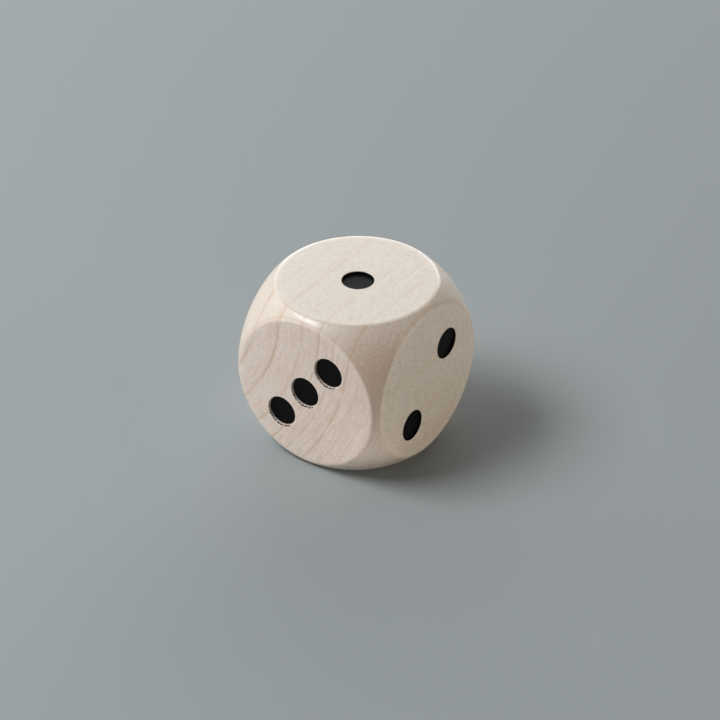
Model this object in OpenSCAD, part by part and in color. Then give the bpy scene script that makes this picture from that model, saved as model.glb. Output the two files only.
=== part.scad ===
// Ball-cornered wooden die. A square bar is turned to a barrel that leaves a round flat on every
// side, sawn to length, sanded, and hot-stamped with black foil pips.
// The grain runs along Y. The one is on top (+Z), the two on +X and the three on -Y.
// The origin is the middle of the face that the die rests on.

/* [Blank] */
// Width of the square bar, across the grain
bar_w = 29.3; // [28.5:0.1:31]
// Length of the die, along the grain
cut_l = 30; // [28.5:0.1:31]
// Diameter of the flat on each sawn end
end_flat_d = 27.5; // [25:0.1:28]
// Width of the flat on each bar side, across the grain
side_flat_w = 27.4; // [25:0.1:28]
// Radius of the sanded round on the rim of every flat
rim_r = 0.8; // [0.4:0.1:1.2]

/* [Pips] */
// Diameter of a pip
pip_d = 5.5; // [4:0.1:6]
// Depth to which the stamp presses a pip
pip_depth = 0.5; // [0.3:0.1:1]
// Distance of the outer rows and columns from the middle of the stamp
pip_pitch = 5.3; // [4.5:0.1:6]
// Spacing of the six's pips along its two columns
six_pitch = 6.8; // [6.2:0.1:7.2]
// Thickness of the black foil on a pip's floor
foil_t = 0.1; // [0.05:0.01:0.25]
// Clearance between the foil's edge and the pip's wall
foil_clearance = 0.05; // [0.02:0.01:0.2]
// Radius of the lip where the pressed pip meets its face
lip_r = 0.15; // [0.05:0.01:0.25]

/* [Stamp placement] */
// How far right of its face's middle the one's stamp landed
one_right = 0.2; // [-1.5:0.1:1.5]
// How far above its face's middle the one's stamp landed
one_up = 0.1; // [-1.5:0.1:1.5]
// How far right of its face's middle the two's stamp landed
two_right = 0.6; // [-1.5:0.1:1.5]
// How far above its face's middle the two's stamp landed
two_up = -1.1; // [-1.5:0.1:1.5]
// Turn of the two's stamp, anticlockwise
two_turn = 3.2; // [-6:0.1:6]
// How far right of its face's middle the three's stamp landed
three_right = 0; // [-1.5:0.1:1.5]
// How far above its face's middle the three's stamp landed
three_up = 0.1; // [-1.5:0.1:1.5]
// Turn of the three's stamp, anticlockwise
three_turn = 4.7; // [-6:0.1:6]

/* [Hidden] */

// Smoothness of the barrel and the rims, and of the small round features
turned_fn = 240;
small_fn = 64;

half_w = bar_w / 2;
half_l = cut_l / 2;

// The barrel's outline is one arc. It passes through the rims of both end flats, and its
// greatest radius, at mid length, meets the bar's sides at the edges of their flats.
end_r = end_flat_d / 2;
side_r = side_flat_w / 2;
waist_r = norm([half_w, side_r]);
// How far beyond the axis the arc's centre lies
arc_back = (pow(end_r, 2) + pow(half_l, 2) - pow(waist_r, 2)) / (2 * (waist_r - end_r));
arc_r = waist_r + arc_back;
// A bar side's flat is a little longer along the grain than it is wide
side_flat_stretch = sqrt(pow(arc_r, 2) - pow(half_w + arc_back, 2)) / side_r;

// Angle between a flat and the barrel's surface at the flat's rim
end_slope = atan2(end_r + arc_back, half_l);
side_slope = atan2(side_r, half_w);
// A rim's or a lip's round starts and ends this many degrees short of the surfaces beside it
rim_crease = 8;
// The shoulder outside the round lies this many degrees clear of the barrel's surface
shoulder_relief = 15;

// Each stamp: its number, the turn that brings it to its face, the face's distance from the
// die's middle, where it landed and how far it was turned
stamps = [
  [1, [0, 0, 0], half_w, [one_right, one_up], 0],
  [2, [90, 0, 90], half_w, [two_right, two_up], two_turn],
  [3, [90, 0, 0], half_l, [three_right, three_up], three_turn],
  [4, [90, 0, 180], half_l, [0, 0], 0],
  [5, [90, 0, -90], half_w, [0, 0], 0],
  [6, [180, 0, 0], half_w, [0, 0], 0]
];

// Pip centres of a stamp: odd numbers have a middle pip, the rest stand on the diagonals
function diagonal(slope) = [for (side = [-1, 1]) side * pip_pitch * [1, slope]];
function six_columns() = [for (col = [-1, 1], row = [-1:1]) [col * pip_pitch, row * six_pitch]];
function pip_centres(number) = number == 6
  ? six_columns()
  : concat(number % 2 == 1 ? [[0, 0]] : [], number > 1 ? diagonal(1) : [], number > 3 ? diagonal(-1) : []);

// Section of a drum whose top and bottom rims are rounded: half of it, from the axis outwards.
// Its flats lie above the die's, so only its rounds and shoulders ever cut.
module rounded_drum_section(half_height, rim_radius, slope) {
  inset = rim_r * cos(rim_crease);
  round_x = rim_radius - inset * tan(slope / 2);
  round_y = half_height - inset;
  fall = slope - shoulder_relief;
  shoulder_start = [round_x, round_y] + rim_r * cos(shoulder_relief) * [sin(fall), cos(fall)];
  shoulder_end = shoulder_start + rim_radius * [cos(fall), -sin(fall)];
  top_right = [
    shoulder_end,
    shoulder_start,
    [round_x, round_y],
    [round_x, half_height + rim_r],
    [0, half_height + rim_r]
  ];
  bottom_right = [for (i = [len(top_right) - 1:-1:0]) [top_right[i][0], -top_right[i][1]]];
  polygon(concat(bottom_right, top_right));
  for (side = [-1, 1]) translate([round_x, side * round_y]) circle(r = rim_r, $fn = small_fn);
}

// The barrel's section: one arc between the two sawn ends, with rounded end rims
module barrel_section() {
  intersection() {
    translate([-arc_back, 0]) circle(r = arc_r, $fn = turned_fn);
    translate([0, -half_l]) square([2 * waist_r, cut_l]);
    rounded_drum_section(half_l, end_r, end_slope);
  }
}

// Rounds the rims of two opposite bar sides
module side_rims() {
  scale([1, side_flat_stretch, 1])
    rotate_extrude($fn = turned_fn)
      rounded_drum_section(half_w, side_r, side_slope);
}

// The sanded blank, centred on the die's middle
module blank() {
  intersection() {
    rotate([90, 0, 0]) rotate_extrude($fn = turned_fn) barrel_section();
    // the square bar, longer than the barrel, so that only its four sides cut
    cube([bar_w, 2 * cut_l, bar_w], center = true);
    side_rims();
    rotate([0, 90, 0]) side_rims();
  }
}

// Places its children at each pip of a stamp, with z = 0 on the face and +Z out of it
module at_pips(stamp) {
  number = stamp[0];
  distance = stamp[2];
  rotate(stamp[1])
    translate([stamp[3][0], stamp[3][1], distance])
      rotate(stamp[4])
        for (centre = pip_centres(number))
          translate(centre) children();
}

// What one stroke of the stamp's punch presses out: a flat-floored round hole with a rounded lip
module pressed_pip() {
  inset = lip_r * cos(rim_crease);
  rotate_extrude($fn = small_fn) {
    translate([0, -pip_depth]) square([pip_d / 2, 2 * pip_depth]);
    difference() {
      translate([0, -inset]) square([pip_d / 2 + inset, pip_depth + inset]);
      translate([pip_d / 2 + inset, -inset]) circle(r = lip_r, $fn = small_fn);
    }
  }
}

// Puts the origin on the face that the die rests on
module standing() {
  translate([0, 0, half_w]) children();
}

// The die: the blank with the pressed pips
module die_body() {
  color([0.88, 0.81, 0.72])
    standing()
      difference() {
        blank();
        for (stamp = stamps) at_pips(stamp) pressed_pip();
      }
}

// The foil that one stamp leaves on the floors of its pips
module foil(number) {
  color([0.08, 0.08, 0.08])
    standing()
      at_pips(stamps[number - 1])
        translate([0, 0, -pip_depth]) cylinder(d = pip_d - 2 * foil_clearance, h = foil_t, $fn = small_fn);
}

die_body();
foil(1);  // foil_one
foil(2);  // foil_two
foil(3);  // foil_three
foil(4);  // foil_four
foil(5);  // foil_five
foil(6);  // foil_six
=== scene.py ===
import math
import random
import bpy
from mathutils import Euler, Matrix, Vector


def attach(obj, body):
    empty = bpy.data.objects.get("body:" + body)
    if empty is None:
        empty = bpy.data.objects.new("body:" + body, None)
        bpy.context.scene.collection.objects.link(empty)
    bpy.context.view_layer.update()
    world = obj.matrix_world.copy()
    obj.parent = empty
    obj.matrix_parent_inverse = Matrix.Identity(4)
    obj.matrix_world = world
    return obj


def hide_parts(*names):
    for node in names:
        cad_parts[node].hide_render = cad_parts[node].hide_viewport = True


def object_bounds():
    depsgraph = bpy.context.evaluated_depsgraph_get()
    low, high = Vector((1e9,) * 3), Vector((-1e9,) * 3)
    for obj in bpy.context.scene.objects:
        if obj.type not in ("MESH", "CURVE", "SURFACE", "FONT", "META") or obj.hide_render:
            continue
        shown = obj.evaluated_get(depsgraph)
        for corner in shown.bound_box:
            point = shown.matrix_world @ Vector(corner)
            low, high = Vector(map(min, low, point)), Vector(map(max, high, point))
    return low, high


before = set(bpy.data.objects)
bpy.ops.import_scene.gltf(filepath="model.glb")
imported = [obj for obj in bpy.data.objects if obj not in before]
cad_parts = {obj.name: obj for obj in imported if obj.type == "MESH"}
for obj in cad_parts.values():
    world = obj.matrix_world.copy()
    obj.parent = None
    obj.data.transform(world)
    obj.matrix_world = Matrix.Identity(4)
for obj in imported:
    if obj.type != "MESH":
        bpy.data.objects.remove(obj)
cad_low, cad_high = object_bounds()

MM = 0.001

# ---- The block -----------------------------------------------------------------------------------
# One piece of pale maple: a square bar, turned to a barrel that leaves a round flat on each side,
# sawn to length, tumbled smooth and waxed. The fibres run along Y and the tree's pith lay to the
# left, so growth rings cross the sawn ends as arcs and run along the bar's sides as lines.
bar_half = (cad_high.z - cad_low.z) / 2
length_half = (cad_high.y - cad_low.y) / 2
# in millimetres: where the pith lay, and how far the rings wander to either side
pith_x = -37.0
pith_z = 29.9
ring_wander = 0.3
# in millimetres: the radius at which the pattern that runs round the tree keeps its true scale
usual_radius = 44.0
# each year: how far its growth reached, in millimetres, and how dark its late wood is, up to 1
growth_rings = (
    (18.5, 0.5), (23.0, 0.6), (27.7, 0.6), (32.3, 0.9), (36.9, 0.6), (40.4, 1.0), (43.3, 0.5),
    (46.5, 1.0), (48.9, 0.4), (51.3, 0.45), (53.1, 0.5), (55.6, 0.5), (58.4, 0.45), (61.5, 0.5),
)


def lay_node(wood, kind, **settings):
    """Add one node to a finish and set its properties."""
    node = wood.nodes.new(kind)
    for name, value in settings.items():
        setattr(node, name, value)
    return node


def feed(wood, socket, value):
    """Wire a socket to another node's output, or give it a number or a colour."""
    if isinstance(value, bpy.types.NodeSocket):
        wood.links.new(value, socket)
    elif isinstance(value, tuple) and len(value) == 3 and socket.type == "RGBA":
        socket.default_value = (*value, 1)
    else:
        socket.default_value = value


def sum_up(wood, operation, *values):
    """One step of arithmetic between outputs or numbers."""
    node = lay_node(wood, "ShaderNodeMath", operation=operation)
    for socket, value in zip(node.inputs, values):
        feed(wood, socket, value)
    return node.outputs[0]


def grade(wood, source, *stops, ease="LINEAR"):
    """Turn a value into another along a ramp of (place, level) stops."""
    node = lay_node(wood, "ShaderNodeValToRGB")
    node.color_ramp.interpolation = ease
    marks = node.color_ramp.elements
    marks[0].position, marks[1].position = stops[0][0], stops[-1][0]
    for place, level in stops[1:-1]:
        marks.new(place)
    for mark, (place, level) in zip(marks, stops):
        mark.color = (level, level, level, 1)
    feed(wood, node.inputs[0], source)
    return node.outputs[0]


def stain(wood, amount, under, over, blend="MIX"):
    """Lay one colour over another by an amount."""
    node = lay_node(wood, "ShaderNodeMix", data_type="RGBA", blend_type=blend)
    feed(wood, node.inputs[0], amount)
    feed(wood, node.inputs[6], under)
    feed(wood, node.inputs[7], over)
    return node.outputs[2]


def figure(wood, place, cells_per_mm, detail=2.0, roughness=0.5):
    """Noise stretched to the given number of cells per millimetre along each direction."""
    spread = lay_node(wood, "ShaderNodeMapping")
    spread.inputs["Scale"].default_value = cells_per_mm
    wood.links.new(place, spread.inputs[0])
    noise = lay_node(wood, "ShaderNodeTexNoise")
    noise.inputs["Scale"].default_value = 1.0
    noise.inputs["Detail"].default_value = detail
    noise.inputs["Roughness"].default_value = roughness
    wood.links.new(spread.outputs[0], noise.inputs["Vector"])
    return noise.outputs[0]


maple = bpy.data.materials.new("waxed maple")
maple.use_nodes = True
wood = maple.node_tree
surface = wood.nodes["Principled BSDF"]

# place in the tree, in millimetres: out from the pith, along the trunk, and round the pith
touch = lay_node(wood, "ShaderNodeTexCoord")
in_mm = lay_node(wood, "ShaderNodeVectorMath", operation="SCALE")
in_mm.inputs["Scale"].default_value = 1 / MM
wood.links.new(touch.outputs["Object"], in_mm.inputs[0])
from_pith = lay_node(wood, "ShaderNodeVectorMath", operation="SUBTRACT")
from_pith.inputs[1].default_value = (pith_x, 0, pith_z)
wood.links.new(in_mm.outputs[0], from_pith.inputs[0])
split = lay_node(wood, "ShaderNodeSeparateXYZ")
wood.links.new(from_pith.outputs[0], split.inputs[0])
across = lay_node(wood, "ShaderNodeVectorMath", operation="MULTIPLY")
across.inputs[1].default_value = (1, 0, 1)
wood.links.new(from_pith.outputs[0], across.inputs[0])
reach = lay_node(wood, "ShaderNodeVectorMath", operation="LENGTH")
wood.links.new(across.outputs[0], reach.inputs[0])
wander = figure(wood, in_mm.outputs[0], (0.12, 0.02, 0.12), detail=2.0)
drift = sum_up(wood, "MULTIPLY_ADD", wander, 2 * ring_wander, -ring_wander)
radius = sum_up(wood, "ADD", reach.outputs["Value"], drift)
around = sum_up(wood, "ARCTAN2", split.outputs["Z"], split.outputs["X"])
around = sum_up(wood, "MULTIPLY", around, usual_radius)
tree_place = lay_node(wood, "ShaderNodeCombineXYZ")
wood.links.new(radius, tree_place.inputs[0])
wood.links.new(split.outputs["Y"], tree_place.inputs[1])
wood.links.new(around, tree_place.inputs[2])
tree_place = tree_place.outputs[0]

# which year's wood this is, how far through that year, and how dark the year ended
first_ring = growth_rings[0][0]
ring_span = growth_rings[-1][0] - first_ring
year_count = len(growth_rings) - 1
# a year's darkness takes over this part of a year before its own growth starts
early_start = 0.03
years = lay_node(wood, "ShaderNodeFloatCurve")
curve = years.mapping.curves[0]
curve.points[0].location = (0, 0)
curve.points[1].location = (1, 1)
for year in range(1, year_count):
    curve.points.new((growth_rings[year][0] - first_ring) / ring_span, year / year_count)
for point in curve.points:
    point.handle_type = "VECTOR"
years.mapping.update()
since_first = sum_up(wood, "SUBTRACT", radius, first_ring)
feed(wood, years.inputs["Value"], sum_up(wood, "DIVIDE", since_first, ring_span))
season = sum_up(wood, "FRACT", sum_up(wood, "MULTIPLY", years.outputs[0], year_count))
ring_dark = lay_node(wood, "ShaderNodeValToRGB")
ring_dark.color_ramp.interpolation = "CONSTANT"
marks = ring_dark.color_ramp.elements
marks.remove(marks[1])
for year in range(year_count):
    dark = growth_rings[year + 1][1]
    mark = marks[0] if year == 0 else marks.new((year - early_start) / year_count)
    mark.color = (dark, dark, dark, 1)
wood.links.new(years.outputs[0], ring_dark.inputs[0])

# how the surface is cut: across the fibres on the sawn ends, along a ray on top and bottom, along
# a ring on the two's and the five's sides, and at a slant on the corners. The fibres lie a little
# askew, so that they run out of the turned surface on two of the corners, and it is browner there;
# this browning is also painted shade, strongest on the upward-tilted part of the front corner
# between the two and the three.
facing = lay_node(wood, "ShaderNodeSeparateXYZ")
wood.links.new(touch.outputs["Normal"], facing.inputs[0])
end_cut = sum_up(wood, "MULTIPLY", facing.outputs["Y"], facing.outputs["Y"])
ring_cut = sum_up(wood, "MULTIPLY", facing.outputs["X"], facing.outputs["X"])
end_grain = grade(wood, end_cut, (0.45, 0), (0.95, 1), ease="EASE")
# how strongly the slant browning and the painted shade show where they are darkest
most_slant_and_shade = 7.6
askew = sum_up(wood, "MULTIPLY", facing.outputs["X"], facing.outputs["Y"])
askew = sum_up(wood, "MULTIPLY", askew, -1)
browned_and_shaded_corners = sum_up(wood, "MAXIMUM", askew, 0)
tilted_up = sum_up(wood, "MULTIPLY_ADD", facing.outputs["Z"], 0.5, 0.5)
# the browning and the painted shade follow how far the surface tilts up
browner_and_shaded = grade(wood, tilted_up, (0.41, 0.25), (0.54, 0.38), (0.62, 0.62), (0.78, 1),
                (0.825, 0.9), (0.86, 0.5))
slant_and_shade = sum_up(wood, "MULTIPLY", sum_up(wood, "MULTIPLY", browned_and_shaded_corners, browned_and_shaded_corners),
               sum_up(wood, "MULTIPLY", browner_and_shaded, most_slant_and_shade))
colour = stain(wood, ring_cut, (0.735, 0.672, 0.588), (0.755, 0.668, 0.572))
colour = stain(wood, end_grain, colour, (0.850, 0.715, 0.636))
# partly painted shade: the two askew corners are multiplied darker and browner
colour = stain(wood, slant_and_shade, colour, (0.82, 0.68, 0.61), blend="MULTIPLY")
# the sawn ends turn a little darker and browner towards +X, across this many millimetres
across_mm = 30.0
across_end = sum_up(wood, "MULTIPLY_ADD", split.outputs["X"], 1 / across_mm, 0.5 + pith_x / across_mm)
ends_darker_towards_plus_x = sum_up(wood, "MULTIPLY", grade(wood, across_end, (0.20, 0), (0.87, 1)), end_grain)
colour = stain(wood, ends_darker_towards_plus_x, colour, (0.90, 0.86, 0.82), blend="MULTIPLY")

# how far a spot is from the middle of its flat, as a share of 20 mm, and so how near to the rim
# that tumbling has rounded. Just inside the rim the colour is painted pale, partly as rubbed wear and
# partly as a painted highlight along the rim; a thin brown line runs along the rim itself.
share_mm = 20.0
middle = lay_node(wood, "ShaderNodeVectorMath", operation="SUBTRACT")
middle.inputs[1].default_value = (0, 0, bar_half / MM)
wood.links.new(in_mm.outputs[0], middle.inputs[0])
reach_out = lay_node(wood, "ShaderNodeVectorMath", operation="ABSOLUTE")
wood.links.new(middle.outputs[0], reach_out.inputs[0])
sides = lay_node(wood, "ShaderNodeSeparateXYZ")
wood.links.new(reach_out.outputs[0], sides.inputs[0])
highest = sum_up(wood, "MAXIMUM", sides.outputs["Y"], sides.outputs["Z"])
highest = sum_up(wood, "MAXIMUM", sides.outputs["X"], highest)
whole = lay_node(wood, "ShaderNodeVectorMath", operation="DOT_PRODUCT")
wood.links.new(middle.outputs[0], whole.inputs[0])
wood.links.new(middle.outputs[0], whole.inputs[1])
off_middle = sum_up(wood, "SQRT", sum_up(wood, "SUBTRACT", whole.outputs["Value"],
                                         sum_up(wood, "MULTIPLY", highest, highest)))
off_share = sum_up(wood, "DIVIDE", off_middle, share_mm)
near_rim = grade(wood, off_share, (0.575, 0), (0.615, 1))
rubbed_and_highlit = grade(wood, off_share, (0.620, 0), (0.665, 1), (0.680, 1), (0.692, 0))
brown_rim_line = grade(wood, off_share, (0.688, 0), (0.697, 1), (0.703, 1), (0.714, 0))

# late wood: the year slowly darkens, ends in a thin brown line, and starts again pale
late_shade = grade(wood, season, (0, 0.25), (0.08, 0), (0.45, 0), (0.90, 1), (0.975, 1), (1, 0.25))
late_line = grade(wood, season, (0, 0.5), (0.035, 0), (0.87, 0), (0.93, 1), (0.98, 1), (1, 0.5))
broken = grade(wood, figure(wood, tree_place, (0.8, 0.10, 0.6), detail=4.0), (0.34, 0.35), (0.60, 1))
shade_amount = sum_up(wood, "MULTIPLY", sum_up(wood, "MULTIPLY", late_shade, ring_dark.outputs[0]), broken)
line_amount = sum_up(wood, "MULTIPLY", sum_up(wood, "MULTIPLY", late_line, ring_dark.outputs[0]), broken)
shade_strength = grade(wood, end_cut, (0, 0.18), (0.15, 0.32), (1, 0.36))
line_strength = grade(wood, end_cut, (0, 0.26), (0.15, 0.80), (1, 0.90))
colour = stain(wood, sum_up(wood, "MULTIPLY", shade_amount, shade_strength), colour, (0.60, 0.46, 0.35))
colour = stain(wood, sum_up(wood, "MULTIPLY", line_amount, line_strength), colour, (0.58, 0.37, 0.21))

# slow changes of tone, and on the sawn ends faint pale and pinkish streaks that follow the rings
tone = figure(wood, tree_place, (0.16, 0.05, 0.22), detail=3.0, roughness=0.6)
colour = stain(wood, grade(wood, tone, (0.35, 0.0), (0.7, 0.16)), colour, (0.66, 0.55, 0.46))
streaks = figure(wood, tree_place, (2.4, 0.10, 0.30), detail=3.0, roughness=0.6)
streaks_seen = grade(wood, end_cut, (0, 0.15), (0.5, 0.35), (0.9, 1))
streak_dark = sum_up(wood, "MULTIPLY", grade(wood, streaks, (0.30, 0.45), (0.52, 0)), streaks_seen)
streak_pale = sum_up(wood, "MULTIPLY", grade(wood, streaks, (0.50, 0), (0.72, 0.60)), streaks_seen)
colour = stain(wood, streak_dark, colour, (0.66, 0.50, 0.43))
colour = stain(wood, streak_pale, colour, (0.87, 0.80, 0.73))

# rays running out from the pith, vessels along the fibres, and the fibres themselves
rays = figure(wood, tree_place, (0.5, 1.6, 7.0), detail=2.0)
colour = stain(wood, grade(wood, rays, (0.50, 0), (0.75, 0.22)), colour, (0.58, 0.46, 0.36))
vessels = figure(wood, tree_place, (4.2, 0.9, 4.2), detail=3.0, roughness=0.7)
upward = sum_up(wood, "MULTIPLY", facing.outputs["Z"], facing.outputs["Z"])
vessels_seen = sum_up(wood, "MULTIPLY", grade(wood, upward, (0.3, 1), (1, 0.65)),
                      sum_up(wood, "MULTIPLY_ADD", ring_cut, 0.35, 1))
vessel_dark = sum_up(wood, "MULTIPLY", grade(wood, vessels, (0.28, 0.42), (0.50, 0)), vessels_seen)
vessel_pale = sum_up(wood, "MULTIPLY", grade(wood, vessels, (0.52, 0), (0.75, 0.40)), vessels_seen)
colour = stain(wood, vessel_dark, colour, (0.54, 0.41, 0.31))
colour = stain(wood, vessel_pale, colour, (0.88, 0.82, 0.75))
fibres = figure(wood, tree_place, (9.0, 0.9, 9.0), detail=2.0, roughness=0.6)
colour = stain(wood, grade(wood, fibres, (0.28, 0.42), (0.5, 0), (0.7, 0)), colour, (0.50, 0.38, 0.28))
colour = stain(wood, grade(wood, fibres, (0.5, 0), (0.75, 0.45)), colour, (0.84, 0.78, 0.70))
pores = grade(wood, figure(wood, tree_place, (6.0, 1.6, 6.0), detail=1.0), (0.58, 0), (0.72, 1))
pores_seen = sum_up(wood, "MULTIPLY", grade(wood, upward, (0.3, 0.60), (1, 0.10)),
                    grade(wood, ring_cut, (0.6, 1), (1, 0.45)))
colour = stain(wood, sum_up(wood, "MULTIPLY", pores, pores_seen), colour, (0.48, 0.35, 0.26))
# a thin brown line along each flat's rim
colour = stain(wood, sum_up(wood, "MULTIPLY", brown_rim_line, 0.22), colour, (0.62, 0.46, 0.30))
# partly painted highlight: the pale band inside each rim is rubbed wear and a painted highlight
colour = stain(wood, sum_up(wood, "MULTIPLY", rubbed_and_highlit, 0.12), colour, (0.90, 0.84, 0.71))
wood.links.new(colour, surface.inputs["Base Color"])

# a thin wax film over fine sanding, with the rims of the flats a little softer than they were cut
surface.inputs["Roughness"].default_value = 0.38
surface.inputs["Specular IOR Level"].default_value = 0.35
surface.inputs["Sheen Weight"].default_value = 0.22
surface.inputs["Sheen Roughness"].default_value = 0.35
surface.inputs["Coat Weight"].default_value = 0.45
surface.inputs["Coat Roughness"].default_value = 0.13
eased = lay_node(wood, "ShaderNodeBevel")
eased.samples = 6
eased.inputs["Radius"].default_value = 0.9 * MM
plain = lay_node(wood, "ShaderNodeNewGeometry")
rim_normal = lay_node(wood, "ShaderNodeMix", data_type="VECTOR")
feed(wood, rim_normal.inputs[0], near_rim)
wood.links.new(plain.outputs["Normal"], rim_normal.inputs[4])
wood.links.new(eased.outputs[0], rim_normal.inputs[5])
relief = lay_node(wood, "ShaderNodeBump")
wood.links.new(rim_normal.outputs[1], relief.inputs["Normal"])
relief.inputs["Strength"].default_value = 0.35
relief.inputs["Distance"].default_value = 0.006 * MM
wood.links.new(fibres, relief.inputs["Height"])
wood.links.new(relief.outputs[0], surface.inputs["Normal"])
wood.links.new(relief.outputs[0], surface.inputs["Coat Normal"])

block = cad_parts["die_body"]
for seat in block.material_slots:
    seat.material = maple

# ---- The foil ------------------------------------------------------------------------------------
# Black hot-stamping foil, pressed into each pip by a flat punch. On the bar's sides it lines floor
# and wall. On the sawn ends, where the fibres stand on end, it tears at the wall and leaves flakes
# on the lip.
pip_radius = 2.75 * MM
pip_depth = 0.5 * MM
pip_pitch = 5.3 * MM
six_pitch = 6.8 * MM
film = 0.03 * MM
film_thickness = film * 0.7
# each stamp: the turn to its face in degrees, the face's distance from the die's middle, where it
# landed in millimetres, its own turn, and its pips' columns and rows
corner_pips = [(-1, -1), (1, 1)]
all_corners = corner_pips + [(-1, 1), (1, -1)]
six_pips = [(column, row * six_pitch / pip_pitch) for column in (-1, 1) for row in (-1, 0, 1)]
stamps = {
    "one": ((0, 0, 0), bar_half, (0.2, 0.1), 0, [(0, 0)]),
    "two": ((90, 0, 90), bar_half, (0.6, -1.1), 3.2, corner_pips),
    "three": ((90, 0, 0), length_half, (0, 0.1), 4.7, [(0, 0)] + corner_pips),
    "four": ((90, 0, 180), length_half, (0, 0), 0, all_corners),
    "five": ((90, 0, -90), bar_half, (0, 0), 0, [(0, 0)] + all_corners),
    "six": ((180, 0, 0), bar_half, (0, 0), 0, six_pips),
}

black_foil = bpy.data.materials.new("black foil")
black_foil.use_nodes = True
film_tree = black_foil.node_tree
film_surface = film_tree.nodes["Principled BSDF"]
film_touch = lay_node(film_tree, "ShaderNodeTexCoord")
film_place = lay_node(film_tree, "ShaderNodeVectorMath", operation="SCALE")
film_place.inputs["Scale"].default_value = 1 / MM
film_tree.links.new(film_touch.outputs["Object"], film_place.inputs[0])
fibre_print = figure(film_tree, film_place.outputs[0], (3.0, 3.0, 3.0), detail=3.0, roughness=0.6)
film_colour = stain(film_tree, grade(film_tree, fibre_print, (0.4, 0), (0.7, 1)),
                    (0.0011, 0.0010, 0.0010), (0.0026, 0.0024, 0.0023))
film_tree.links.new(film_colour, film_surface.inputs["Base Color"])
film_tree.links.new(grade(film_tree, fibre_print, (0.3, 0.42), (0.7, 0.6)), film_surface.inputs["Roughness"])
film_surface.inputs["Specular IOR Level"].default_value = 0.09
film_relief = lay_node(film_tree, "ShaderNodeBump")
film_relief.inputs["Strength"].default_value = 0.6
film_relief.inputs["Distance"].default_value = 0.02 * MM
film_tree.links.new(fibre_print, film_relief.inputs["Height"])
film_tree.links.new(film_relief.outputs[0], film_surface.inputs["Normal"])


def pick(mesh_object, wanted):
    """Leave edit mode, select the vertices that pass a test, and enter it again."""
    bpy.ops.object.mode_set(mode="OBJECT")
    mesh = mesh_object.data
    for face in mesh.polygons:
        face.select = False
    for edge in mesh.edges:
        edge.select = False
    for vertex in mesh.vertices:
        vertex.select = wanted(vertex.co)
    bpy.ops.object.mode_set(mode="EDIT")
    bpy.ops.mesh.select_mode(type="VERT")


def press_floor(radius):
    """A disc of film on the pip's floor, with its middle divided so that it can be uneven."""
    bpy.ops.object.select_all(action="DESELECT")
    bpy.ops.mesh.primitive_circle_add(vertices=72, radius=radius, fill_type="NGON",
                                      location=(0, 0, film - pip_depth))
    lining = bpy.context.object
    bpy.ops.object.transform_apply(location=True, rotation=True, scale=True)
    bpy.ops.object.mode_set(mode="EDIT")
    bpy.ops.mesh.select_mode(type="FACE")
    bpy.ops.mesh.select_all(action="SELECT")
    for step in (0.08, 0.35, 0.8):
        bpy.ops.mesh.inset(thickness=step * MM)
    bpy.ops.mesh.poke()
    bpy.ops.object.mode_set(mode="OBJECT")
    return lining


def draw_wall(lining, steps):
    """Carry the disc's edge up the wall by (radius, height) steps."""
    edge_radius = max(vertex.co.xy.length for vertex in lining.data.vertices)
    pick(lining, lambda spot: spot.xy.length > edge_radius - 0.01 * MM)
    height = film - pip_depth
    for radius, level in steps:
        bpy.ops.mesh.extrude_edges_move(TRANSFORM_OT_translate={"value": (0, 0, level - height)})
        bpy.ops.transform.resize(value=(radius / edge_radius, radius / edge_radius, 1),
                                 center_override=(0, 0, 0))
        edge_radius = radius
        height = level
    bpy.ops.object.mode_set(mode="OBJECT")


def thicken(lining, thickness):
    """Give the film its thickness."""
    skin = lining.modifiers.new("film", "SOLIDIFY")
    skin.thickness = thickness
    skin.offset = 1.0
    bpy.context.view_layer.objects.active = lining
    bpy.ops.object.modifier_apply(modifier=skin.name)


# the lined pip of a bar side
side_lining = press_floor(pip_radius - 0.12 * MM)
draw_wall(side_lining, [
    (pip_radius - 0.06 * MM, film * 1.6 - pip_depth),
    (pip_radius - 0.03 * MM, -0.38 * MM),
    (pip_radius - 0.02 * MM, -0.20 * MM),
    (pip_radius - 0.01 * MM, -0.06 * MM),
])

# the torn pip of a sawn end: a floor only
end_lining = press_floor(pip_radius - 0.06 * MM)


def scatter_edge(piece, radius_from, amount, seed):
    """Move the film's free edge about, as foil tears."""
    bpy.context.view_layer.objects.active = piece
    pick(piece, lambda spot: spot.xy.length > radius_from)
    bpy.ops.transform.vertex_random(offset=amount, seed=seed)
    bpy.ops.object.mode_set(mode="OBJECT")


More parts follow.
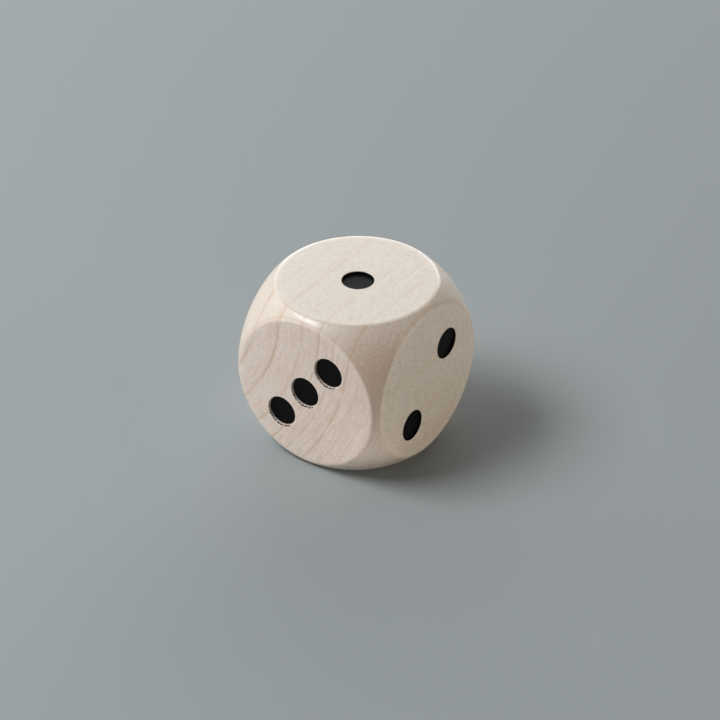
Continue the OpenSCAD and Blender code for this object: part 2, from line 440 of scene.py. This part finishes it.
def leave_flakes(seed, covered):
    """The film torn off at the lip. covered says, by angle round the pip, how far it hangs on."""
    hangs = 0.19 * MM
    holed = 0.55
    lot = random.Random(seed)
    shreds = [(lot.randint(9, 60), lot.uniform(0, 2 * math.pi)) for wave in range(9)]
    holes = [(lot.randint(20, 60), lot.uniform(0, 2 * math.pi)) for wave in range(5)]
    swing = lot.uniform(-14, 14)
    radius = pip_radius - 0.015 * MM
    height = -0.16 * MM
    bpy.ops.object.select_all(action="DESELECT")
    bpy.ops.mesh.primitive_circle_add(vertices=240, radius=radius, fill_type="NOTHING",
                                      location=(0, 0, height))
    band = bpy.context.object
    bpy.ops.object.transform_apply(location=True, rotation=True, scale=True)
    bpy.ops.object.mode_set(mode="EDIT")
    bpy.ops.mesh.select_all(action="SELECT")
    for out, level in ((-0.005, -0.10), (0.03, -0.045), (0.07, -0.005), (0.12, 0.006),
                       (0.17, 0.008), (0.22, 0.008), (0.27, 0.008)):
        bpy.ops.mesh.extrude_edges_move(TRANSFORM_OT_translate={"value": (0, 0, level * MM - height)})
        wider = (pip_radius + out * MM) / radius
        bpy.ops.transform.resize(value=(wider, wider, 1), center_override=(0, 0, 0))
        radius = pip_radius + out * MM
        height = level * MM
    bpy.ops.mesh.select_all(action="SELECT")
    bpy.ops.transform.vertex_random(offset=0.012 * MM, seed=seed)
    bpy.ops.mesh.select_all(action="DESELECT")
    bpy.ops.mesh.select_mode(type="FACE")
    bpy.ops.object.mode_set(mode="OBJECT")
    for vertex in band.data.vertices:
        vertex.select = False
    for edge in band.data.edges:
        edge.select = False
    for face in band.data.polygons:
        angle = math.atan2(face.center.y, face.center.x)
        out = face.center.xy.length - pip_radius
        tear = sum(math.sin(count * angle + start) for count, start in shreds) / 6
        hole = sum(math.sin(count * angle + start) for count, start in holes) / 3
        held = covered((math.degrees(angle) + swing) % 360) + tear
        face.select = out > held * hangs or hole > holed
    bpy.ops.object.mode_set(mode="EDIT")
    bpy.ops.mesh.delete(type="FACE")
    bpy.ops.object.mode_set(mode="OBJECT")
    return band


def hanging(angle):
    """The punch came away upwards: most film hangs on below each pip, and some to its left."""
    if 250 < angle < 305:
        return 0.75
    return 0.3 if 200 < angle < 250 else -0.6


seed = 0
for number, (face_turn, face_distance, landed, stamp_turn, pips) in stamps.items():
    node = "foil_" + number
    on_end = number in ("three", "four")
    to_face = Euler([math.radians(angle) for angle in face_turn], "XYZ").to_matrix().to_4x4()
    to_stamp = (Matrix.Translation((0, 0, bar_half)) @ to_face
                @ Matrix.Translation((landed[0] * MM, landed[1] * MM, face_distance))
                @ Matrix.Rotation(math.radians(stamp_turn), 4, "Z"))
    parts = []
    for column, row in pips:
        seed += 1
        pattern = end_lining if on_end else side_lining
        lining = pattern.copy()
        lining.data = pattern.data.copy()
        bpy.context.scene.collection.objects.link(lining)
        scatter_edge(lining, pip_radius - (0.075 if on_end else 0.015) * MM, 0.025 * MM, seed)
        made = [lining]
        if on_end:
            made.append(leave_flakes(seed, hanging))
        for thing in made:
            thing.data.transform(to_stamp @ Matrix.Translation((column * pip_pitch, row * pip_pitch, 0)))
        parts += made
    bpy.ops.object.select_all(action="DESELECT")
    for part in parts:
        part.select_set(True)
    bpy.context.view_layer.objects.active = parts[0]
    if len(parts) > 1:
        bpy.ops.object.join()
    foil = parts[0]
    foil.name = "black_foil_" + number
    thicken(foil, film_thickness)
    foil.data.materials.clear()
    foil.data.materials.append(black_foil)
    bpy.ops.object.shade_smooth_by_angle(angle=math.radians(40))
    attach(foil, "root")
    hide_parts(node)

for pattern in (side_lining, end_lining):
    bpy.data.objects.remove(pattern)

# ---- The table -----------------------------------------------------------------------------------
# A sheet of matt grey card that the die stands on. It lies level and reaches well past the view
# on every side.
bpy.ops.object.select_all(action="DESELECT")
bpy.ops.mesh.primitive_plane_add(size=6, location=(0, 0, 0))
table = bpy.context.object
table.name = "table"
card = bpy.data.materials.new("grey card")
card.use_nodes = True
card_surface = card.node_tree.nodes["Principled BSDF"]
card_surface.inputs["Base Color"].default_value = (0.308, 0.337, 0.341, 1)
card_surface.inputs["Roughness"].default_value = 0.85
card_surface.inputs["Specular IOR Level"].default_value = 0.15
table.data.materials.append(card)

# ---- The light -----------------------------------------------------------------------------------
# One soft lamp from the left, wide low ones behind, and small cards close by that fill the
# shadows. A slip of paper lies face up in front and throws light under the die's front edge.
world = bpy.data.worlds.new("studio")
bpy.context.scene.world = world
world.use_nodes = True
air = world.node_tree
walls = air.nodes["Background"]
walls.inputs["Color"].default_value = (1.0, 0.97, 0.93, 1)
walls.inputs["Strength"].default_value = 0.085
backdrop = air.nodes.new("ShaderNodeBackground")
backdrop.inputs["Color"].default_value = (0.33, 0.355, 0.36, 1)
seen = air.nodes.new("ShaderNodeLightPath")
swap = air.nodes.new("ShaderNodeMixShader")
air.links.new(seen.outputs["Is Camera Ray"], swap.inputs[0])
air.links.new(walls.outputs[0], swap.inputs[1])
air.links.new(backdrop.outputs[0], swap.inputs[2])
air.links.new(swap.outputs[0], air.nodes["World Output"].inputs["Surface"])


def hang_lamp(name, azimuth, elevation, distance, width, height, power, colour):
    """A soft rectangular lamp facing the die. Azimuth is from +X towards +Y."""
    lamp = bpy.data.lights.new(name, "AREA")
    lamp.shape = "RECTANGLE"
    lamp.size = width
    lamp.size_y = height
    lamp.energy = power
    lamp.color = colour
    box = bpy.data.objects.new(name, lamp)
    bpy.context.scene.collection.objects.link(box)
    turn, lift = math.radians(azimuth), math.radians(elevation)
    towards = Vector((math.cos(lift) * math.cos(turn), math.cos(lift) * math.sin(turn), math.sin(lift)))
    box.location = towards * distance + Vector((0, 0, bar_half))
    box.rotation_euler = towards.to_track_quat("Z", "Y").to_euler()
    box.visible_camera = False
    return box


hang_lamp("left softbox", 218, 52, 0.8, 0.48, 0.32, 5.75, (0.985, 1.0, 1.03))
hang_lamp("left strip", 160, 28, 0.8, 0.80, 0.30, 1.4, (1.0, 1.0, 1.0))
hang_lamp("back strip", 113, 18, 0.8, 0.78, 0.36, 2.95, (1.0, 1.0, 1.0))
hang_lamp("low back strip", 118, 4, 0.8, 0.80, 0.05, 0.5, (1.0, 1.0, 1.0))
hang_lamp("low left card", 235, 3, 0.30, 0.16, 0.035, 0.225, (1.0, 0.96, 0.92))
hang_lamp("low front card", 306, 1.0, 0.30, 0.14, 0.008, 0.022, (1.0, 0.94, 0.88))
hang_lamp("near right card", 20, 4, 0.45, 0.30, 0.06, 0.69, (1.0, 0.90, 0.78))
slip_azimuth = 310
slip = hang_lamp("slip laid in front", slip_azimuth, -26, 0.030, 0.024, 0.008, 0.00068, (1.0, 0.94, 0.88))
slip.location.z = 0.5 * MM
slip.rotation_euler = (math.pi, 0, math.radians(slip_azimuth - 270))
slip.visible_glossy = False

# ---- The camera ----------------------------------------------------------------------------------
# A long lens, 0.6 m away, above the die and to the right of the three's face. It is aimed a little
# to one side of the die's middle.
swing = math.radians(35.35)
rise = math.radians(34.08)
distance = 0.5929
shift_right = 0.567 * MM
shift_down = 1.303 * MM
rightwards = Vector((math.cos(swing), math.sin(swing), 0))
backwards = Vector((math.sin(swing) * math.cos(rise), -math.cos(swing) * math.cos(rise), math.sin(rise)))
upwards = backwards.cross(rightwards)
eye = bpy.data.cameras.new("camera")
eye.sensor_width = 36
eye.lens = 174.33
eye.clip_start = 0.01
camera = bpy.data.objects.new("camera", eye)
bpy.context.scene.collection.objects.link(camera)
spot = (cad_low + cad_high) / 2 + shift_right * rightwards - shift_down * upwards + distance * backwards
turn_matrix = Matrix((rightwards, upwards, backwards)).transposed().to_4x4()
camera.matrix_world = Matrix.Translation(spot) @ turn_matrix
bpy.context.scene.camera = camera

bpy.context.scene.view_settings.view_transform = "Standard"
